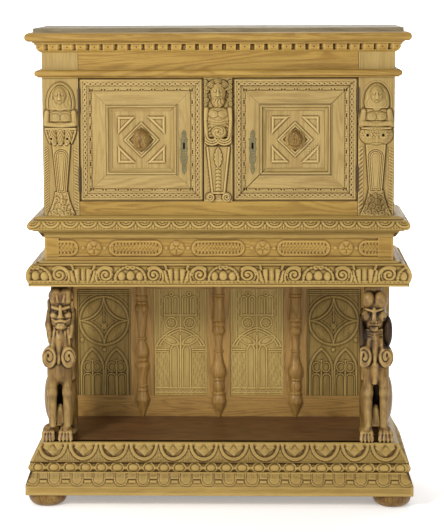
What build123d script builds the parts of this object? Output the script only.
"""Court cupboard in carved oak, in the French Renaissance manner.

A two-door cupboard with carved term figures stands on a deep moulded waist, which two winged
lions and a panelled back frame carry above an open stage. The stage floor is a board let into
a moulded plinth on four bun feet. Lengths are millimetres: X runs to the right, Y to the back
and Z up, from the middle of the footprint on the floor.
"""

import os
from math import sqrt

from build123d import *

os.makedirs("parts", exist_ok=True)

# Heights of the stages, from the floor up
foot_height = 48.0
plinth_height = 184.0
stage_height = 580.0
waist_height = 250.0
case_height = 615.0
cornice_height = 35.0
top_board_thickness = 15.0

# Plan
case_width = 1250.0
case_depth = 456.0
platform_overhang = 25.0
platform_step = 13.0
plinth_flare = 51.0

# Clearances
joint_gap = 0.3
door_gap = 2.0
slide_gap = 0.3
pin_gap = 0.05

# Boards
case_board = 38.0
side_board = 24.0
waist_board = 24.0
shelf_board = 18.0
floor_board = 20.0
back_board = 12.0

# Plinth and stage
plinth_wall = 27.0
platform_board_thickness = 20.0
platform_rebate = 10.0
corner_block_side = 100.0
corner_block_height = 45.0
foot_radius = 70.0
foot_inset = 74.0
foot_side_inset = 22.0
back_frame_margin = 15.0
back_frame_thickness = 37.0
back_rail_height = 81.0
back_top_rail_height = 84.0
muntin_width = 88.0
# The old back frame stands a little left of the middle
back_frame_askew = 10.0
back_panel_width = 205.0
back_panel_thickness = 14.0
back_panel_sink = 6.0
groove_depth = 8.0
tracery_depth = 4.0
baluster_radius = 27.0
lion_inset = 72.0

# Waist
cushion_height = 87.0
cushion_reach = 62.0
waist_moulding_height = 77.0
waist_moulding_reach = 56.0

# Upper case
corner_stile_width = 130.0
centre_stile_width = 104.0
bottom_rail_height = 50.0
door_opening_height = 440.0
side_rail_height = 80.0
side_stile_width = 70.0
side_panel_thickness = 10.0
astragal_height = 26.0
astragal_reach = 24.0
astragal_lift = 2.0
bed_height = 35.0
bed_reach = 24.0
dentil_pitch = 48.5
dentil_notch_width = 14.0
dentil_notch_height = 22.0
cornice_reach = 54.0
cornice_seat = 24.0
top_board_overhang = 28.5
top_board_step = 3.0
shelf_rise = 293.0
shelf_setback = 76.0
cleat_side = 20.0
cleat_length = 330.0

# Doors
door_thickness = 24.0
door_frame_width = 90.0
door_field_sink = 3.0
inner_moulding_width = 26.0
inner_moulding_rise = 5.0
door_panel_lap = 12.0
door_panel_sink = 10.0
door_panel_thickness = 12.0
corner_triangle_leg = 69.0
corner_triangle_inset = 18.0
lozenge_half = 66.0
lozenge_band = 24.0
panel_relief = 6.0
boss_reach = 46.0
hinge_height = 84.0
hinge_inset = 36.0
knuckle_radius = 4.2
hinge_pin_radius = 2.0
hinge_stand_off = 4.7
leaf_thickness = 2.2
leaf_width = 24.0
knuckle_gap = 0.4
keyhole_width = 7.0
keyhole_height = 22.0
keyhole_setback = 68.0
escutcheon_thickness = 1.5
lock_length = 100.0
lock_height = 64.0
lock_depth = 16.0
lock_wall = 2.5
bolt_length = 76.0
bolt_height = 16.0
bolt_thickness = 8.0
bolt_throw = 10.0
bolt_tip_setback = 1.0

# Derived levels
platform_top = foot_height + plinth_height
soffit = platform_top + stage_height
case_base = soffit + waist_height
case_top = case_base + case_height
cornice_top = case_top + cornice_height
door_sill = case_base + bottom_rail_height
door_head = door_sill + door_opening_height
door_bottom = door_sill + door_gap
door_top = door_head - door_gap
door_height = door_top - door_bottom

# Derived planes
case_half = case_width / 2
overall_depth = case_depth + platform_step + plinth_flare
back = overall_depth / 2
case_front = back - case_depth
platform_front = case_front - platform_step
platform_half = case_half + platform_overhang
stile_edge = case_half - corner_stile_width
centre_edge = centre_stile_width / 2
door_outer = stile_edge - door_gap
door_inner = centre_edge + door_gap
door_middle = (door_outer + door_inner) / 2
door_width = door_outer - door_inner
case_frame_back = case_front + case_board
case_inside = case_half - side_board
back_inside = back - back_board
door_back = case_front + door_thickness
mitre_reach = 160.0


def board(x_limits, y_limits, z_limits):
    """A square-edged board that fills the given limits."""
    with BuildPart() as piece:
        with BuildSketch(Plane.XY.offset(z_limits[0])):
            with Locations((sum(x_limits) / 2, sum(y_limits) / 2)):
                Rectangle(x_limits[1] - x_limits[0], y_limits[1] - y_limits[0])
        extrude(amount=z_limits[1] - z_limits[0])
    return piece


def cut_from(piece, *tools):
    """A piece with the room of other solids cut out of it."""
    with BuildPart() as rest:
        add(piece.part)
        for tool in tools:
            add(tool.part, mode=Mode.SUBTRACT)
    return rest


def group(*pieces):
    """Separate pieces that share one node."""
    with BuildPart() as together:
        for piece in pieces:
            add(piece.part)
    return together


def mirrored(piece):
    """The same piece for the other side of the cupboard."""
    with BuildPart() as twin:
        mirror(piece.part, about=Plane.YZ)
    return twin


def egg(centre, radius, half_height):
    """A solid egg about an upright axis."""
    with BuildPart() as turned:
        with BuildSketch(Plane(origin=centre, x_dir=(1, 0, 0), z_dir=(0, -1, 0))):
            Ellipse(radius, half_height)
            with Locations((-radius, 0)):
                Rectangle(2 * radius, 3 * half_height, mode=Mode.SUBTRACT)
        revolve(axis=Axis(centre, (0, 0, 1)))
    return turned


def save(piece, name):
    """Label a finished piece and write its STEP file."""
    piece.part.label = name
    export_step(piece.part, f"parts/{name}.step")


def wrap_round(section, half_width, front):
    """Carry a section round the front and both sides, with a saw kerf at each mitre.

    The section is drawn with its first axis outwards from the line and its second upwards.
    """
    start = Plane(origin=(half_width, back, 0), x_dir=(1, 0, 0), z_dir=(0, -1, 0))
    with BuildPart() as run:
        with BuildLine():
            Polyline((half_width, back), (half_width, front), (-half_width, front), (-half_width, back))
        with BuildSketch(start):
            add(section.sketch)
        sweep(transition=Transition.RIGHT)
        for side in (1, -1):
            with Locations(Location((side * half_width, front, cornice_top / 2), (0, 0, -45 * side))):
                Box(2 * mitre_reach, joint_gap, cornice_top, mode=Mode.SUBTRACT)
    return run


def front_piece(run):
    """The front length of a run of moulding."""
    with BuildPart() as piece:
        add(run.part.solids().sort_by(Axis.Y)[0])
    return piece


def side_pieces(run):
    """The two side lengths of a run of moulding."""
    with BuildPart() as pieces:
        add(run.part.solids().sort_by(Axis.Y)[1:])
    return pieces


# ------------------------------------------------------------------ feet and plinth

foot_x = platform_half - foot_side_inset
foot_y = overall_depth / 2 - foot_inset

with BuildPart() as bun_feet:
    with BuildSketch(Plane.XZ):
        with BuildLine():
            Polyline((foot_radius * 0.57, 0), (0, 0), (0, foot_height), (foot_radius * 0.97, foot_height))
            Line((foot_radius * 0.97, foot_height), (foot_radius, foot_height * 0.72))
            ThreePointArc(
                (foot_radius, foot_height * 0.72),
                (foot_radius * 0.9, foot_height * 0.28),
                (foot_radius * 0.57, 0),
            )
        make_face()
    foot = revolve(axis=Axis.Z, mode=Mode.PRIVATE)
    with GridLocations(2 * foot_x, 2 * foot_y, 2, 2):
        add(foot)
save(bun_feet, "bun_feet")

# The section leans out from the platform's edge, through a bead, to a flared foot moulding.
bead_level = foot_height + plinth_height * 0.545
bead_half = plinth_height * 0.095
lip_top = foot_height + plinth_height * 0.2

with BuildSketch() as plinth_section:
    with BuildLine():
        Polyline(
            (plinth_flare, foot_height),
            (-plinth_wall, foot_height),
            (-plinth_wall, platform_top - platform_board_thickness),
            (platform_rebate - plinth_wall, platform_top - platform_board_thickness),
            (platform_rebate - plinth_wall, platform_top),
            (0, platform_top),
            (plinth_flare * 0.69, bead_level + bead_half + 3),
            (plinth_flare * 0.52, bead_level + bead_half),
        )
        ThreePointArc(
            (plinth_flare * 0.52, bead_level + bead_half),
            (plinth_flare * 0.8, bead_level),
            (plinth_flare * 0.52, bead_level - bead_half),
        )
        Line((plinth_flare * 0.52, bead_level - bead_half), (plinth_flare * 0.6, bead_level - bead_half))
        ThreePointArc(
            (plinth_flare * 0.6, bead_level - bead_half),
            (plinth_flare * 0.82, (bead_level - bead_half + lip_top) / 2),
            (plinth_flare, lip_top),
        )
        Line((plinth_flare, lip_top), (plinth_flare, foot_height))
    make_face()

plinth_run = wrap_round(plinth_section, platform_half, platform_front)
save(front_piece(plinth_run), "plinth_front")
save(side_pieces(plinth_run), "plinth_sides")

plinth_inside = platform_half - plinth_wall
plinth_back_front = back - plinth_wall
platform_under = platform_top - platform_board_thickness
plinth_back = board(
    (-plinth_inside, plinth_inside), (plinth_back_front, back), (foot_height, platform_under)
)
save(plinth_back, "plinth_back")

block_x = plinth_inside - corner_block_side / 2
block_front_y = platform_front + plinth_wall + corner_block_side / 2
block_back_y = plinth_back_front - corner_block_side / 2
with BuildPart() as corner_blocks:
    with Locations(Location((0, 0, foot_height))):
        with Locations(*[(x, y) for x in (-block_x, block_x) for y in (block_front_y, block_back_y)]):
            Box(
                corner_block_side,
                corner_block_side,
                corner_block_height,
                align=(Align.CENTER, Align.CENTER, Align.MIN),
            )
save(corner_blocks, "corner_blocks")

platform_edge = platform_half - plinth_wall + platform_rebate - joint_gap
platform_board = board(
    (-platform_edge, platform_edge),
    (platform_front + plinth_wall - platform_rebate + joint_gap, back),
    (platform_under, platform_top),
)
save(platform_board, "platform_board")

# ------------------------------------------------------------------ back frame of the stage

back_frame_half = case_half + back_frame_margin
back_frame_front = back - back_frame_thickness
rail_top = platform_top + back_rail_height
rail_under = soffit - back_top_rail_height
panel_pitch = back_panel_width + muntin_width
panel_centres = [panel_pitch * place - back_frame_askew for place in (-1.5, -0.5, 0.5, 1.5)]
muntin_centres = [panel_pitch * place - back_frame_askew for place in (-1, 0, 1)]
stile_inner = 2 * panel_pitch - muntin_width / 2
between_stiles = (-stile_inner - back_frame_askew, stile_inner - back_frame_askew)
frame_depth = (back_frame_front, back)


def back_panel_pocket(centre, clearance):
    """The room of one back panel, with a clearance all round it in its grooves."""
    reach = back_panel_width / 2 + groove_depth - joint_gap + clearance
    front = back_frame_front + back_panel_sink
    return board(
        (centre - reach, centre + reach),
        (front - clearance, front + back_panel_thickness + clearance),
        (
            rail_top - groove_depth + joint_gap - clearance,
            rail_under + groove_depth - joint_gap + clearance,
        ),
    )


pockets = [back_panel_pocket(centre, joint_gap) for centre in panel_centres]
stile_height = (platform_top, soffit)
left_back_stile = cut_from(
    board((-back_frame_half, between_stiles[0]), frame_depth, stile_height), pockets[0]
)
right_back_stile = cut_from(
    board((between_stiles[1], back_frame_half), frame_depth, stile_height), pockets[-1]
)
save(group(left_back_stile, right_back_stile), "back_stiles")
save(
    cut_from(board(between_stiles, frame_depth, (platform_top, rail_top)), *pockets),
    "back_bottom_rail",
)
save(
    cut_from(board(between_stiles, frame_depth, (rail_under, soffit)), *pockets),
    "back_top_rail",
)
muntins = [
    cut_from(
        board(
            (centre - muntin_width / 2, centre + muntin_width / 2), frame_depth, (rail_top, rail_under)
        ),
        *pockets,
    )
    for centre in muntin_centres
]
save(group(*muntins), "muntins")


def pointed_light(centre_x, foot_z, width, spring, rise):
    """One light of tracery: a straight-sided opening under a two-centred pointed arch."""
    half = width / 2
    radius = (half**2 + rise**2) / (2 * half)
    with BuildSketch(Plane.XZ.offset(-back_frame_front - back_panel_sink)) as light:
        with BuildLine():
            Polyline(
                (centre_x - half, spring),
                (centre_x - half, foot_z),
                (centre_x + half, foot_z),
                (centre_x + half, spring),
            )
            RadiusArc((centre_x + half, spring), (centre_x, spring + rise), -radius)
            RadiusArc((centre_x, spring + rise), (centre_x - half, spring), -radius)
        make_face()
    return light


panel_height = rail_under - rail_top
rose_radius = 96.0
rose_level = rail_top + panel_height * 0.7
lancet_foot = rail_top + panel_height * 0.02
lancet_spring = rail_top + panel_height * 0.227
lancet_rise = panel_height * 0.21
lancet_width = 86.0
for name, place in (("rose_panel_left", 0), ("rose_panel_right", 3)):
    centre = panel_centres[place]
    with BuildPart() as rose_panel:
        add(back_panel_pocket(centre, 0).part)
        with BuildSketch(Plane.XZ.offset(-back_frame_front - back_panel_sink)):
            with Locations((centre, rose_level)):
                Circle(rose_radius)
        extrude(amount=-tracery_depth, mode=Mode.SUBTRACT)
        for side in (-1, 1):
            lancet_centre = centre + side * (lancet_width / 2 + 4)
            light = pointed_light(lancet_centre, lancet_foot, lancet_width, lancet_spring, lancet_rise)
            extrude(light.sketch, amount=-tracery_depth, mode=Mode.SUBTRACT)
    save(rose_panel, name)

# Lancet panel: the place of each light from the middle, its width, then its foot, spring and rise
# as shares of the panel's height
lancet_lights = [
    (-23.0, 29.0, 0.072, 0.38, 0.037), (23.0, 29.0, 0.072, 0.38, 0.037),
    (-49.5, 19.5, 0.757, 0.9, 0.03), (-18.0, 19.5, 0.757, 0.9, 0.03),
    (18.0, 19.5, 0.757, 0.9, 0.03), (49.5, 19.5, 0.757, 0.9, 0.03),
]
ogee_half, ogee_shoulder, ogee_rib = 80.0, 52.0, 4.0
ogee_foot = rail_top + panel_height * 0.47
ogee_mid = rail_top + panel_height * 0.575
ogee_tip = rail_top + panel_height * 0.625
for name, place in (("lancet_panel_left", 1), ("lancet_panel_right", 2)):
    centre = panel_centres[place]
    with BuildPart() as lancet_panel:
        add(back_panel_pocket(centre, 0).part)
        for out, width, foot, spring, rise in lancet_lights:
            light = pointed_light(
                centre + out, rail_top + panel_height * foot, width,
                rail_top + panel_height * spring, panel_height * rise,
            )
            extrude(light.sketch, amount=-tracery_depth, mode=Mode.SUBTRACT)
        # The two halves of the tympanum under the ogee
        for side in (-1, 1):
            low_end = (centre + side * ogee_half, ogee_foot)
            high_end = (centre + side * ogee_rib, ogee_tip)
            with BuildSketch(Plane.XZ.offset(-back_frame_front - back_panel_sink)):
                with BuildLine():
                    ThreePointArc(low_end, (centre + side * ogee_shoulder, ogee_mid), high_end)
                    Polyline(high_end, (centre + side * ogee_rib, ogee_foot), low_end)
                make_face()
            extrude(amount=-tracery_depth, mode=Mode.SUBTRACT)
    save(lancet_panel, name)


def half_turning(turns, centre_x):
    """A half turning that fills the stage's height against the back frame.

    Each turn is its share of the height, its radius at half height and its radius at its lower
    end, the radii as shares of the largest. An even taper is a line, and the rest are arcs.
    """
    total = sum(share for share, middle, end in turns)
    stand = Plane(origin=(centre_x, back_frame_front, 0), x_dir=(1, 0, 0), z_dir=(0, -1, 0))
    with BuildPart() as turning:
        with BuildSketch(stand):
            with BuildLine():
                level, radius = soffit, baluster_radius * turns[0][1]
                Line((0, soffit), (radius, soffit))
                for share, middle, end in turns:
                    foot = level - stage_height * share / total
                    belly, tip = baluster_radius * middle, baluster_radius * end
                    if abs(belly - (radius + tip) / 2) < 0.1:
                        Line((radius, level), (tip, foot))
                    else:
                        ThreePointArc((radius, level), (belly, (level + foot) / 2), (tip, foot))
                    level, radius = foot, tip
                Polyline((radius, platform_top), (0, platform_top), (0, soffit))
            make_face()
        revolve(axis=Axis((centre_x, back_frame_front, 0), (0, 0, -1)), revolution_arc=180)
    return turning


outer_turns = [
    (100, 0.72, 0.72), (12, 0.85, 0.72), (8, 0.72, 0.72), (12, 0.86, 0.72), (28, 0.96, 0.85),
    (92, 0.62, 0.46), (12, 0.64, 0.44), (44, 0.76, 0.96), (22, 0.9, 0.66), (12, 0.78, 0.66),
    (24, 1.0, 0.92), (60, 0.7, 0.6), (12, 0.74, 0.6), (16, 0.78, 0.72), (30, 0.9, 1.0), (62, 0.62, 0.24),
]
inner_turns = [
    (100, 0.72, 0.72), (12, 0.85, 0.72), (12, 0.85, 0.72), (70, 0.8, 0.9), (14, 0.96, 0.72),
    (20, 0.86, 0.72), (34, 0.88, 0.6), (56, 0.5, 0.5), (10, 0.66, 0.5), (50, 0.62, 0.86),
    (50, 1.08, 0.8), (12, 0.86, 0.7), (40, 0.84, 0.7), (14, 0.9, 0.8), (30, 0.96, 1.0), (56, 0.62, 0.24),
]
for name, centre, turns in (
    ("baluster_left", muntin_centres[0], outer_turns),
    ("baluster_centre", muntin_centres[1], inner_turns),
    ("baluster_right", muntin_centres[2], inner_turns),
):
    save(half_turning(turns, centre), name)

# ------------------------------------------------------------------ lions

lion_spread = platform_half - lion_inset
lion_axis_y = platform_front + 49
lion_trunk_half, trunk_round = 59.0, 14.0
post_half, post_front, post_back, post_foot = 33.0, 30.0, 78.0, 0.7
# Level as a share of the stage's height, then outwards and inwards from the trunk's middle, and the
# front and back from the lion's axis
trunk_levels = [
    (0.0, 35, 58, 104, 174), (0.12, 50, 59, 94, 179), (0.25, 59, 59, 56, 172), (0.36, 50, 59, 44, 162),
    (0.56, 36, 58, 41, 152), (0.79, 32, 54, 42, 132),
]
# Level, sideways and back from the middle, half width and half depth
breast_levels = [
    (0.35, 0, 8, 18, 22), (0.4, 0, 8, 34, 34), (0.5, 0, 8, 37, 41), (0.58, 0, 10, 39, 43),
    (0.68, 0, 10, 36, 41), (0.76, 0, 10, 34, 38),
]
head_levels = [
    (0.72, 0, 2, 24, 36), (0.75, 0, 6, 32, 48), (0.81, 0, 8, 39, 52), (0.88, 0, 8, 40, 52),
    (0.94, 0, 10, 38, 46), (0.97, 0, 14, 34, 38),
]
nose_levels = [(0.765, 0, -47, 8, 8), (0.79, 0, -49, 10, 10), (0.84, 0, -43, 8.5, 9), (0.885, 0, -36, 8, 8)]
muzzle_reach, muzzle_radius, muzzle_share = 30.0, 22.0, 0.765
cheek_out, cheek_reach, cheek_radius, cheek_tall, cheek_share = 23.0, 22.0, 19.0, 22.8, 0.803
crest_foot, crest_reach, crest_back = 0.92, 16.0, 74.0
leg_levels = [
    (0.05, 0, -4, 14.5, 30), (0.12, 0, -1, 14, 31), (0.3, 0, 0, 17, 28), (0.42, -2, 2, 21, 26),
    (0.5, -4, 4, 22, 28),
]
ankle_radius, ankle_share, ankle_back, heel_share = 23.0, 0.06, 8.0, 0.8
toe_radius, toe_reach, paw_height, paw_taper, heel_back = 8.0, 40.0, 26.0, 12.0, 20.0
hind_paw_width, hind_paw_front, hind_paw_length, hind_paw_height = 28.0, 36.0, 96.0, 28.0
hind_paw_round, hind_paw_taper = 10.0, 10.0
scroll_half_width, scroll_half_height, scroll_front, scroll_back = 26.5, 0.063, 49.0, 0.0
scroll_eye, scroll_eye_rise = 0.42, 3.0
strap_levels = [(0.56, 1.0, -30, 13, 12), (0.66, 0.5, -20, 11, 12)]
tuft_levels = [(0.055, 0, -2, 13, 8), (0.12, 0, 4, 17, 9), (0.19, 0, 14, 14, 10), (0.22, 0, 22, 8, 8)]


def level_at(share):
    """A height on the stage, from the share of it below."""
    return platform_top + stage_height * share


def carried(levels, middle_x, hand=1):
    """A solid carried up through ovals, one for each level."""
    with BuildPart() as solid:
        for share, out, behind, half_x, half_y in levels:
            with BuildSketch(Plane.XY.offset(level_at(share))):
                with Locations((middle_x + hand * out, lion_axis_y + behind)):
                    Ellipse(half_x, half_y)
        loft()
    return solid


def lion_trunk(middle_x, inner):
    """The broad body behind the legs, wider at the haunches and flat on its inner side."""
    with BuildPart() as trunk:
        for share, outwards, inwards, ahead, behind in trunk_levels:
            limits = (middle_x - inner * outwards, middle_x + inner * inwards)
            with BuildSketch(Plane.XY.offset(level_at(share))):
                with Locations((sum(limits) / 2, lion_axis_y + (ahead + behind) / 2)):
                    RectangleRounded(outwards + inwards, behind - ahead, trunk_round)
        loft(ruled=True)
        for reach in (-lion_trunk_half, lion_trunk_half - hind_paw_width):
            side_x = middle_x + inner * reach
            foot_x = (side_x, side_x + inner * hind_paw_width)
            with BuildSketch(Plane.XY.offset(platform_top)):
                with Locations((sum(foot_x) / 2, lion_axis_y + hind_paw_front + hind_paw_length / 2)):
                    RectangleRounded(hind_paw_width, hind_paw_length, hind_paw_round)
            extrude(amount=hind_paw_height, taper=hind_paw_taper)
    return trunk


def paw(ankle_x, toes):
    """A forepaw: a sole that spreads to four toes, under a round ankle."""
    heel_y = lion_axis_y + heel_back
    toe_y = lion_axis_y - toe_reach
    with BuildPart() as foot:
        with BuildSketch(Plane.XY.offset(platform_top)):
            with BuildLine():
                Polyline(
                    (toes[0] - toe_radius, toe_y),
                    (toes[-1] + toe_radius, toe_y),
                    (ankle_x + ankle_radius * heel_share, heel_y),
                    (ankle_x - ankle_radius * heel_share, heel_y),
                    close=True,
                )
            make_face()
            for toe in toes:
                with Locations((toe, toe_y)):
                    Circle(toe_radius)
        extrude(amount=paw_height, taper=paw_taper)
        ankle = (ankle_x, lion_axis_y - ankle_back, level_at(ankle_share))
        add(egg(ankle, ankle_radius, ankle_radius).part)
    return foot


def lion_scrolls(middle_x, out, share):
    """The wings' ends, rolled up either side of the breast, each with a raised eye."""
    tall = stage_height * scroll_half_height
    with BuildPart() as scrolls:
        for side in (-1, 1):
            centre = (middle_x + side * out, level_at(share))
            for width, rise in ((1.0, 0.0), (scroll_eye, scroll_eye_rise)):
                with BuildSketch(Plane.XZ.offset(-lion_axis_y - scroll_back)):
                    with Locations(centre):
                        Ellipse(scroll_half_width * width, tall * width)
                extrude(amount=scroll_front - scroll_back + rise)
            add(carried([(s, side * out * r, b, x, y) for s, r, b, x, y in strap_levels], middle_x).part)
    return scrolls


def lion(centre_x, inner, offsets, legs, scroll, side_levels):
    """A seated winged lion that carries the cupboard's front corner.

    The offsets are those of its trunk, its breast and its head from the corner's centre.
    """
    trunk_x, breast_x, head_x = offsets
    face_x = centre_x + head_x
    with BuildPart() as beast:
        add(lion_trunk(centre_x + trunk_x, inner).part)
        add(
            board(
                (centre_x + breast_x - post_half, centre_x + breast_x + post_half),
                (lion_axis_y + post_front, lion_axis_y + post_back),
                (level_at(post_foot), soffit),
            ).part
        )
        add(carried(breast_levels, centre_x + breast_x).part)
        add(carried(head_levels, face_x).part)
        add(carried(nose_levels, face_x).part)
        muzzle = (face_x, lion_axis_y - muzzle_reach, level_at(muzzle_share))
        add(egg(muzzle, muzzle_radius, muzzle_radius).part)
        for side in (-1, 1):
            cheek = (face_x + side * cheek_out, lion_axis_y - cheek_reach, level_at(cheek_share))
            add(egg(cheek, cheek_radius, cheek_tall).part)
        add(
            board(
                (face_x - post_half, face_x + post_half),
                (lion_axis_y - crest_reach, lion_axis_y + crest_back),
                (level_at(crest_foot), soffit),
            ).part
        )
        for leg_x, ankle_x, toes in legs:
            away = 1 if leg_x > breast_x else -1
            add(carried(leg_levels, centre_x + leg_x, away).part)
            add(paw(centre_x + ankle_x, [centre_x + toe for toe in toes]).part)
        add(lion_scrolls(centre_x + breast_x, *scroll).part)
        for levels in side_levels:
            add(carried(levels, face_x).part)
        add(carried(tuft_levels, centre_x + sum(leg_x for leg_x, _, _ in legs) / 2).part)
    return beast


left_legs = [(-30, -43, (-62, -50, -37, -27)), (25, 19, (-2, 11, 25, 38))]
right_legs = [(-38, -43, (-62, -49, -35, -24)), (20, 27, (5, 20, 34, 48))]
left_locks = [
    [(0.62, -38, -14, 10, 10), (0.72, -46, -4, 12, 13), (0.8, -42, 0, 12, 14), (0.9, -38, 0, 9, 14)],
    [(0.62, 26, -28, 8, 8), (0.7, 32, -18, 10, 11), (0.8, 39, -6, 11, 13), (0.9, 39, -4, 9, 14)],
]
right_wings = [
    [
        (0.61, -45, 6, 9, 12), (0.66, -46, 8, 18, 28), (0.72, -45, 10, 22, 34), (0.77, -45, 10, 18, 28),
        (0.79, -45, 10, 10, 14),
    ],
    [
        (0.61, 43, 4, 9, 12), (0.66, 43, 6, 15, 30), (0.72, 43, 6, 18, 36), (0.77, 43, 6, 15, 30),
        (0.79, 43, 6, 9, 14),
    ],
]
save(lion(-lion_spread, 1, (-10, 0, 5), left_legs, (36, 0.534), left_locks), "lion_left")
save(lion(lion_spread, -1, (-2.5, -15, -17), right_legs, (39, 0.541), right_wings), "lion_right")

# ------------------------------------------------------------------ waist

soffit_top = soffit + shelf_board
floor_under = case_base - floor_board

soffit_board = board((-case_half, case_half), (case_front, back), (soffit, soffit_top))
save(soffit_board, "soffit_board")

cushion_foot = soffit + 7
cushion_head = soffit + cushion_height - 7
with BuildSketch() as cushion_section:
    with BuildLine():
        Polyline(
            (cushion_reach - 22, cushion_head),
            (cushion_reach - 38, cushion_head),
            (cushion_reach - 38, soffit + cushion_height),
            (0, soffit + cushion_height),
            (0, soffit),
            (cushion_reach - 8, soffit),
            (cushion_reach - 8, cushion_foot),
            (cushion_reach - 12, cushion_foot),
        )
        ThreePointArc(
            (cushion_reach - 12, cushion_foot),
            (cushion_reach, (cushion_foot + cushion_head) / 2 + 2),
            (cushion_reach - 22, cushion_head),
        )
    make_face()
cushion_run = wrap_round(cushion_section, case_half, case_front)
save(front_piece(cushion_run), "cushion_front")
save(side_pieces(cushion_run), "cushion_sides")

frieze_height = (soffit_top, floor_under)
frieze_front = board((-case_half, case_half), (case_front, case_front + waist_board), frieze_height)
save(frieze_front, "frieze_front")
frieze_side = board((-case_half, -case_inside), (case_front + waist_board, back), frieze_height)
frieze_back = board(
    (-case_inside + joint_gap, case_inside - joint_gap), (back_inside, back), frieze_height
)
save(group(frieze_side, mirrored(frieze_side), frieze_back), "frieze_sides_and_back")

waist_foot = case_base - waist_moulding_height
with BuildSketch() as waist_section:
    with BuildLine():
        Line((0, waist_foot), (6, waist_foot))
        ThreePointArc(
            (6, waist_foot), (12, waist_foot + 16), (waist_moulding_reach - 26, waist_foot + 24)
        )
        Polyline(
            (waist_moulding_reach - 26, waist_foot + 24),
            (waist_moulding_reach - 20, waist_foot + 24),
            (waist_moulding_reach - 20, waist_foot + 28),
            (waist_moulding_reach - 12, waist_foot + 28),
        )
        ThreePointArc(
            (waist_moulding_reach - 12, waist_foot + 28),
            (waist_moulding_reach, waist_foot + 44),
            (waist_moulding_reach - 18, case_base - 14),
        )
        Polyline(
            (waist_moulding_reach - 18, case_base - 14),
            (waist_moulding_reach - 24, case_base - 14),
            (waist_moulding_reach - 24, case_base - 6),
            (waist_moulding_reach - 38, case_base),
            (0, case_base),
            (0, waist_foot),
        )
    make_face()
waist_moulding = wrap_round(waist_section, case_half, case_front)
save(waist_moulding, "waist_moulding")

cupboard_floor = board((-case_half, case_half), (case_front, back), (floor_under, case_base))
save(cupboard_floor, "cupboard_floor")

# ------------------------------------------------------------------ cupboard carcase

hinge_x = stile_edge - door_gap / 2
hinge_y = case_front - hinge_stand_off
hinge_levels = [door_top - hinge_inset - hinge_height / 2, door_bottom + hinge_inset + hinge_height / 2]
leaf_back = case_front + leaf_width
keyhole_x = door_inner + keyhole_setback
bolt_y = door_back + lock_wall + slide_gap + bolt_thickness / 2
keyhole_level = door_bottom + door_height * 0.45
bolt_level = keyhole_level + keyhole_height / 2 + bolt_height / 2 + 2
carcase_height = (case_base, case_top)
front_depth = (case_front, case_frame_back)


def leaf_pockets(x_limits):
    """The sinkings for two hinge leaves in an upright edge."""
    pockets = [
        board(x_limits, (case_front, leaf_back), (level - hinge_height / 2, level + hinge_height / 2))
        for level in hinge_levels
    ]
    return group(*pockets)


# Each term is carved in its stile: sections of half width and projection at heights that are
# shares of the door opening, from the mound at its foot to the crown of its head.
term_mound = [(-0.1, 44, 26), (0.02, 40, 28)]
term_pedestal = [(0.02, 20, 20), (0.44, 33, 26)]
term_skirt = [(0.44, 44, 26), (0.6, 54, 34)]
term_body = [(0.6, 46, 32), (0.66, 54, 38), (0.76, 47, 32), (0.8, 22, 24)]
term_head = (0.87, 25, 46)


def term(centre_x, foot_share, figure_width):
    """A term figure in half relief against the case front."""
    grow = figure_width / 108
    with BuildPart() as figure:
        for sections in (term_mound, term_pedestal, term_skirt, term_body):
            for share, half_x, reach in sections:
                level = door_sill + door_opening_height * max(share, foot_share)
                with BuildSketch(Plane.XY.offset(level)):
                    with Locations((centre_x, case_front)):
                        Ellipse(half_x * grow, reach)
            loft()
    share, radius, half_height = term_head
    head_level = door_sill + door_opening_height * share
    head = egg((centre_x, case_front - 8, head_level), radius * grow, half_height * grow)
    with BuildPart() as whole:
        add(figure.part)
        add(head.part)
        # The back half lies in the stile
        with Locations((centre_x, case_front, (case_base + case_top) / 2)):
            Box(
                corner_stile_width,
                2 * case_board,
                case_height,
                align=(Align.CENTER, Align.MIN, Align.CENTER),
                mode=Mode.SUBTRACT,
            )
    return whole


for name, side in (("term_stile_left", -1), ("term_stile_right", 1)):
    stile_limits = tuple(sorted((side * case_half, side * stile_edge)))
    pocket_limits = tuple(sorted((side * stile_edge, side * (stile_edge + leaf_thickness))))
    with BuildPart() as term_stile:
        add(board(stile_limits, front_depth, carcase_height).part)
        add(term(sum(stile_limits) / 2, -0.1, 100).part)
        add(leaf_pockets(pocket_limits).part, mode=Mode.SUBTRACT)
    save(term_stile, name)

mortise_height = bolt_height + 2 * slide_gap
mortise_thickness = bolt_thickness + 2 * slide_gap
mortise_depth = bolt_throw + 2
with BuildPart() as centre_stile:
    add(board((-centre_edge, centre_edge), front_depth, (door_sill, door_head)).part)
    for side in (-1, 1):
        with Locations((side * (centre_edge - mortise_depth / 2), bolt_y, bolt_level)):
            Box(mortise_depth, mortise_thickness, mortise_height, mode=Mode.SUBTRACT)
    add(term(0, 0.0, 92).part)
save(centre_stile, "centre_stile")

save(board((-stile_edge, stile_edge), front_depth, (case_base, door_sill)), "cupboard_bottom_rail")
save(board((-stile_edge, stile_edge), front_depth, (door_head, case_top)), "top_frieze_rail")

side_stile_front = back - side_stile_width
side_across = (-case_half, -case_inside)
side_rail_low = case_base + side_rail_height
side_rail_high = case_top - side_rail_height
side_panel_mid = (-case_half - case_inside) / 2


def side_panel_room(clearance):
    """The room of a side panel in the grooves of its frame."""
    half = side_panel_thickness / 2 + clearance
    lap = groove_depth - joint_gap + clearance
    return board(
        (side_panel_mid - half, side_panel_mid + half),
        (case_frame_back, side_stile_front + lap),
        (side_rail_low - lap, side_rail_high + lap),
    )


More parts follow.
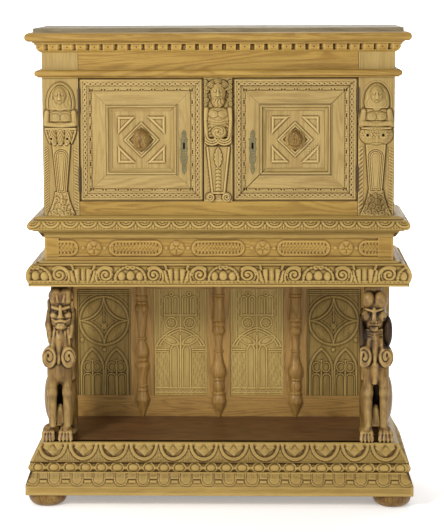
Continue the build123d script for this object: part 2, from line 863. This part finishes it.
side_pocket = side_panel_room(joint_gap)
side_rear_stile = cut_from(board(side_across, (side_stile_front, back), carcase_height), side_pocket)
side_low_rail = cut_from(
    board(side_across, (case_frame_back, side_stile_front - joint_gap), (case_base, side_rail_low)),
    side_pocket,
)
side_top_rail = cut_from(
    board(side_across, (case_frame_back, side_stile_front - joint_gap), (side_rail_high, case_top)),
    side_pocket,
)
side_frame = group(side_rear_stile, side_low_rail, side_top_rail)
save(side_frame, "side_frame_left")
save(mirrored(side_frame), "side_frame_right")

with BuildPart() as side_panel_left:
    add(side_panel_room(0).part)
    # The fielded face: a bevel all round, worked from the outside
    with BuildSketch(Plane.YZ.offset(side_panel_mid - side_panel_thickness / 2)):
        with Locations(((case_frame_back + side_stile_front) / 2, (side_rail_low + side_rail_high) / 2)):
            Rectangle(side_stile_front - case_frame_back - 60, side_rail_high - side_rail_low - 60)
    extrude(amount=-4, taper=30)
save(group(side_panel_left, mirrored(side_panel_left)), "side_panels")

back_board_count = 6
back_boards_width = 2 * case_inside
back_board_width = back_boards_width / back_board_count
back_boards = [
    board(
        (
            -case_inside + back_board_width * place + joint_gap / 2,
            -case_inside + back_board_width * (place + 1) - joint_gap / 2,
        ),
        (back_inside, back),
        carcase_height,
    )
    for place in range(back_board_count)
]
save(group(*back_boards), "back_boards")

ceiling_under = case_top - shelf_board
cupboard_ceiling = board(
    (-case_inside, case_inside), (case_frame_back, back_inside), (ceiling_under, case_top)
)
save(cupboard_ceiling, "cupboard_ceiling")

shelf_under = case_base + shelf_rise
shelf_front = case_front + shelf_setback
shelf = board(
    (-case_inside + joint_gap, case_inside - joint_gap),
    (shelf_front, back_inside - joint_gap),
    (shelf_under, shelf_under + shelf_board),
)
save(shelf, "shelf")
cleat = board(
    (-case_inside, -case_inside + cleat_side),
    (shelf_front + cleat_side, shelf_front + cleat_side + cleat_length),
    (shelf_under - cleat_side, shelf_under),
)
save(group(cleat, mirrored(cleat)), "shelf_cleats")

# ------------------------------------------------------------------ mouldings and top

astragal_foot = door_head + astragal_lift
with BuildSketch() as astragal_section:
    with BuildLine():
        Polyline(
            (0, astragal_foot + astragal_height),
            (0, astragal_foot),
            (astragal_reach - 10, astragal_foot),
            (astragal_reach - 10, astragal_foot + 4),
        )
        ThreePointArc(
            (astragal_reach - 10, astragal_foot + 4),
            (astragal_reach, astragal_foot + astragal_height / 2 + 2),
            (astragal_reach - 10, astragal_foot + astragal_height),
        )
        Line((astragal_reach - 10, astragal_foot + astragal_height), (0, astragal_foot + astragal_height))
    make_face()
save(wrap_round(astragal_section, case_half, case_front), "astragal")

bed_foot = case_top - bed_height
with BuildSketch() as bed_section:
    with BuildLine():
        ThreePointArc(
            (0, bed_foot), (bed_reach * 0.42, bed_foot + 6), (bed_reach * 0.75, bed_foot + 17)
        )
        Polyline(
            (bed_reach * 0.75, bed_foot + 17),
            (bed_reach * 0.75, case_top - 5),
            (bed_reach, case_top - 5),
            (bed_reach, case_top),
            (0, case_top),
            (0, bed_foot),
        )
    make_face()
bed_run = wrap_round(bed_section, case_half, case_front)
dentil_pairs = int((case_half - dentil_notch_width) / dentil_pitch + 0.5)
side_dentil_count = int((case_depth - dentil_pitch) // dentil_pitch)
notch_level = case_top - 5 - dentil_notch_height / 2
notch_depth = bed_reach * 0.75 - 5
with BuildPart() as dentil_course:
    add(bed_run.part)
    for place in range(-dentil_pairs, dentil_pairs):
        with Locations(((place + 0.5) * dentil_pitch, case_front - 5, notch_level)):
            Box(
                dentil_notch_width,
                notch_depth + bed_reach,
                dentil_notch_height,
                align=(Align.CENTER, Align.MAX, Align.CENTER),
                mode=Mode.SUBTRACT,
            )
    for place in range(side_dentil_count):
        for side in (-1, 1):
            with Locations((side * (case_half + 5), back - dentil_pitch * (place + 0.7), notch_level)):
                Box(
                    notch_depth + bed_reach,
                    dentil_notch_width,
                    dentil_notch_height,
                    align=(Align.MAX if side < 0 else Align.MIN, Align.CENTER, Align.CENTER),
                    mode=Mode.SUBTRACT,
                )
save(dentil_course, "dentil_course")

with BuildSketch() as cornice_section:
    with BuildLine():
        Polyline(
            (cornice_reach - 14, cornice_top),
            (-cornice_seat, cornice_top),
            (-cornice_seat, case_top),
            (cornice_reach - 24, case_top),
            (cornice_reach - 24, case_top + 4),
            (cornice_reach - 15, case_top + 4),
        )
        ThreePointArc(
            (cornice_reach - 15, case_top + 4),
            (cornice_reach, case_top + 19),
            (cornice_reach - 14, cornice_top),
        )
    make_face()
save(wrap_round(cornice_section, case_half, case_front), "cornice")

top_board = board(
    (-case_half - top_board_overhang, case_half + top_board_overhang),
    (case_front - top_board_step, back),
    (cornice_top, cornice_top + top_board_thickness),
)
save(top_board, "top_board")

# ------------------------------------------------------------------ hinges

knuckle_length = (hinge_height - 2 * knuckle_gap) / 3


def knuckle(level, place):
    """One knuckle of a hinge on the left, counted from its foot, bored for the pin."""
    foot = level - hinge_height / 2 + place * (knuckle_length + knuckle_gap)
    with BuildPart() as barrel:
        with BuildSketch(Plane.XY.offset(foot)):
            with Locations((-hinge_x, hinge_y)):
                Circle(knuckle_radius)
                Circle(hinge_pin_radius + pin_gap, mode=Mode.SUBTRACT)
        extrude(amount=knuckle_length)
    return barrel


def hinge_leaf(level, edge_x, away, places):
    """A leaf let into an upright edge, with the knuckles at the given places."""
    plate_x = tuple(sorted((edge_x, edge_x + away * leaf_thickness)))
    level_limits = (level - hinge_height / 2, level + hinge_height / 2)
    with BuildPart() as leaf:
        add(board(plate_x, (case_front, leaf_back), level_limits).part)
        for place in places:
            foot = level_limits[0] + place * (knuckle_length + knuckle_gap)
            add(board(plate_x, (hinge_y, case_front), (foot, foot + knuckle_length)).part)
            add(knuckle(level, place).part)
            with Locations((-hinge_x, hinge_y, level)):
                Cylinder(hinge_pin_radius + pin_gap, hinge_height, mode=Mode.SUBTRACT)
    return leaf


case_leaves = [hinge_leaf(level, -stile_edge, -1, (0, 2)) for level in hinge_levels]
case_leaf_pair = group(*case_leaves)
save(group(case_leaf_pair, mirrored(case_leaf_pair)), "case_hinge_leaves")

pin_head_height = 5.0
with BuildPart() as left_pins:
    for level in hinge_levels:
        with Locations((-hinge_x, hinge_y, level)):
            Cylinder(hinge_pin_radius, hinge_height)
        for end in (-1, 1):
            with Locations((-hinge_x, hinge_y, level + end * (hinge_height + pin_head_height) / 2)):
                Cylinder(knuckle_radius - 1.2, pin_head_height)
save(group(left_pins, mirrored(left_pins)), "hinge_pins")

# ------------------------------------------------------------------ doors


def framed(section, half_width, half_height, corner_reach):
    """Four mitred lengths round the middle of the left door, from a section drawn inwards."""
    middle_z = (door_bottom + door_top) / 2
    face = Plane(origin=(-door_middle, case_front, middle_z), x_dir=(1, 0, 0), z_dir=(0, -1, 0))
    start = Plane(
        origin=(-door_middle, case_front, middle_z - half_height), x_dir=(0, 0, 1), z_dir=(1, 0, 0)
    )
    with BuildPart() as ring:
        with BuildLine(face):
            Polyline(
                (0, -half_height),
                (half_width, -half_height),
                (half_width, half_height),
                (-half_width, half_height),
                (-half_width, -half_height),
                (0, -half_height),
            )
        with BuildSketch(start):
            add(section.sketch)
        sweep(transition=Transition.RIGHT)
        for side_x in (-1, 1):
            for side_z in (-1, 1):
                corner = (-door_middle + side_x * half_width, case_front, middle_z + side_z * half_height)
                with Locations(Location(corner, (0, -45 * side_x * side_z, 0))):
                    Box(2 * corner_reach, 4 * door_thickness, joint_gap, mode=Mode.SUBTRACT)
    return ring


# The section of the door's frame, in from its edge and back from its face
with BuildSketch() as door_frame_section:
    with BuildLine():
        Polyline(
            (door_frame_width, -door_field_sink),
            (door_frame_width, -door_thickness),
            (0, -door_thickness),
            (0, 0),
            (10, 0),
            (12, -2),
            (27, -2),
            (28, 1),
            (31, 1),
            (33, -1),
        )
        ThreePointArc((33, -1), (40, -2.5), (43, -6))
        Polyline((43, -6), (46, -door_field_sink), (door_frame_width, -door_field_sink))
    make_face()

with BuildSketch() as inner_moulding_section:
    with BuildLine():
        Polyline(
            (door_panel_lap + 2, -door_panel_sink),
            (door_panel_lap + 2, -door_thickness),
            (0, -door_thickness),
            (0, inner_moulding_rise - 3),
            (4, inner_moulding_rise - 3),
        )
        ThreePointArc(
            (4, inner_moulding_rise - 3), (8, inner_moulding_rise), (12, inner_moulding_rise - 3)
        )
        Line((12, inner_moulding_rise - 3), (14, inner_moulding_rise - 3))
        ThreePointArc(
            (14, inner_moulding_rise - 3),
            (20, -door_panel_sink * 0.5),
            (inner_moulding_width, -door_panel_sink * 0.85),
        )
        Polyline(
            (inner_moulding_width, -door_panel_sink * 0.85),
            (inner_moulding_width, -door_panel_sink),
            (door_panel_lap + 2, -door_panel_sink),
        )
    make_face()

moulding_half_width = door_width / 2 - door_frame_width
moulding_half_height = door_height / 2 - door_frame_width
door_mid_level = (door_bottom + door_top) / 2
keyhole_room = board(
    (-keyhole_x - keyhole_width / 2, -keyhole_x + keyhole_width / 2),
    (case_front - door_thickness, door_back + lock_depth - lock_wall),
    (keyhole_level - keyhole_height / 2, keyhole_level + keyhole_height / 2),
)
door_leaf_room = leaf_pockets((-door_outer, -door_outer + leaf_thickness))
door_frame = cut_from(
    framed(door_frame_section, door_width / 2, door_height / 2, mitre_reach), door_leaf_room, keyhole_room
)
inner_moulding = framed(inner_moulding_section, moulding_half_width, moulding_half_height, 60)

panel_half_width = moulding_half_width - door_panel_lap - 2 - joint_gap
panel_half_height = moulding_half_height - door_panel_lap - 2 - joint_gap
panel_face = Plane(
    origin=(-door_middle, case_front + door_panel_sink, door_mid_level), x_dir=(1, 0, 0), z_dir=(0, -1, 0)
)
triangle_x = moulding_half_width - inner_moulding_width - corner_triangle_inset
triangle_z = moulding_half_height - inner_moulding_width - corner_triangle_inset
with BuildPart() as door_panel:
    with BuildSketch(panel_face):
        Rectangle(2 * panel_half_width, 2 * panel_half_height)
    extrude(amount=-door_panel_thickness)
    # A raised triangle in each corner, and a raised lozenge band round the boss
    for side_x in (-1, 1):
        for side_z in (-1, 1):
            with BuildSketch(panel_face):
                with BuildLine():
                    Polyline(
                        (side_x * triangle_x, side_z * triangle_z),
                        (side_x * (triangle_x - corner_triangle_leg), side_z * triangle_z),
                        (side_x * triangle_x, side_z * (triangle_z - corner_triangle_leg)),
                        close=True,
                    )
                make_face()
            extrude(amount=panel_relief, taper=35)
    with BuildSketch(panel_face):
        Rectangle(lozenge_half * sqrt(2), lozenge_half * sqrt(2), rotation=45)
        Rectangle(
            (lozenge_half - lozenge_band) * sqrt(2), (lozenge_half - lozenge_band) * sqrt(2), rotation=45,
            mode=Mode.SUBTRACT,
        )
    extrude(amount=panel_relief)

lozenge_floor_y = case_front + door_panel_sink


def head_boss(centre_x, half_width, half_height, ruff_radius):
    """A carved head that stands out of the middle of a door, clear of the lozenge band."""
    face = Plane(origin=(centre_x, lozenge_floor_y, door_mid_level), x_dir=(1, 0, 0), z_dir=(0, -1, 0))
    neck_radius = (lozenge_half - lozenge_band) / sqrt(2) - 2
    head_foot = panel_relief + joint_gap
    with BuildPart() as boss:
        with BuildSketch(face):
            Circle(neck_radius)
        extrude(amount=head_foot + 2)
        for share, size in ((0, 0.84), (0.3, 1.0), (0.7, 0.76), (1, 0.3)):
            with BuildSketch(face.offset(head_foot + (boss_reach - head_foot) * share)):
                Ellipse(half_width * size, half_height * size)
        loft()
        if ruff_radius:
            with BuildSketch(face.offset(head_foot)):
                Circle(ruff_radius)
            extrude(amount=boss_reach * 0.2, taper=20)
    return boss


escutcheon_face = Plane(
    origin=(-keyhole_x, case_front + door_field_sink, keyhole_level), x_dir=(1, 0, 0), z_dir=(0, -1, 0)
)
with BuildPart() as escutcheon:
    with BuildSketch(escutcheon_face):
        with BuildLine():
            Polyline((0, 58), (7, 50), (8, 30), (14, 24))
            ThreePointArc((14, 24), (11, 12), (14, 0))
            ThreePointArc((14, 0), (10, -20), (13, -40))
            ThreePointArc((13, -40), (7, -62), (9, -80))
            Polyline((9, -80), (0, -104))
            mirror(about=Plane.YZ)
        make_face()
    extrude(amount=escutcheon_thickness)
    add(keyhole_room.part, mode=Mode.SUBTRACT)

lock_end = -door_inner - 1.5
lock_mid_level = (keyhole_level + bolt_level) / 2
lock_inside = door_back + lock_wall
with BuildPart() as lock_case:
    add(
        board(
            (lock_end - lock_length, lock_end),
            (door_back, door_back + lock_depth),
            (lock_mid_level - lock_height / 2, lock_mid_level + lock_height / 2),
        ).part
    )
    # The bolt's run, open at the door's edge, and the chamber where the key's bit turns
    add(
        board(
            (lock_end - lock_length + lock_wall, lock_end),
            (lock_inside, lock_inside + bolt_thickness + 2 * slide_gap),
            (bolt_level - bolt_height / 2 - slide_gap, bolt_level + bolt_height / 2 + slide_gap),
        ).part,
        mode=Mode.SUBTRACT,
    )
    add(
        board(
            (-keyhole_x - keyhole_height / 2, -keyhole_x + keyhole_height / 2),
            (lock_inside, door_back + lock_depth - lock_wall),
            (keyhole_level - keyhole_height / 2 - 1, bolt_level),
        ).part,
        mode=Mode.SUBTRACT,
    )
    add(keyhole_room.part, mode=Mode.SUBTRACT)

bolt_tip = -door_inner - bolt_tip_setback
lock_bolt = board(
    (bolt_tip - bolt_length, bolt_tip),
    (bolt_y - bolt_thickness / 2, bolt_y + bolt_thickness / 2),
    (bolt_level - bolt_height / 2, bolt_level + bolt_height / 2),
)

door_leaves = [hinge_leaf(level, -door_outer, 1, (1,)) for level in hinge_levels]
door_pieces = {
    "door_frame": door_frame,
    "door_moulding": inner_moulding,
    "door_panel": door_panel,
    "escutcheon": escutcheon,
    "lock": lock_case,
    "lock_bolt": lock_bolt,
    "door_hinge_leaves": group(*door_leaves),
}
for name, piece in door_pieces.items():
    save(piece, f"left_{name}")
    save(mirrored(piece), f"right_{name}")
save(head_boss(-door_middle, 32, 44, 0), "left_boss")
save(head_boss(door_middle, 26, 30, 38), "right_boss")
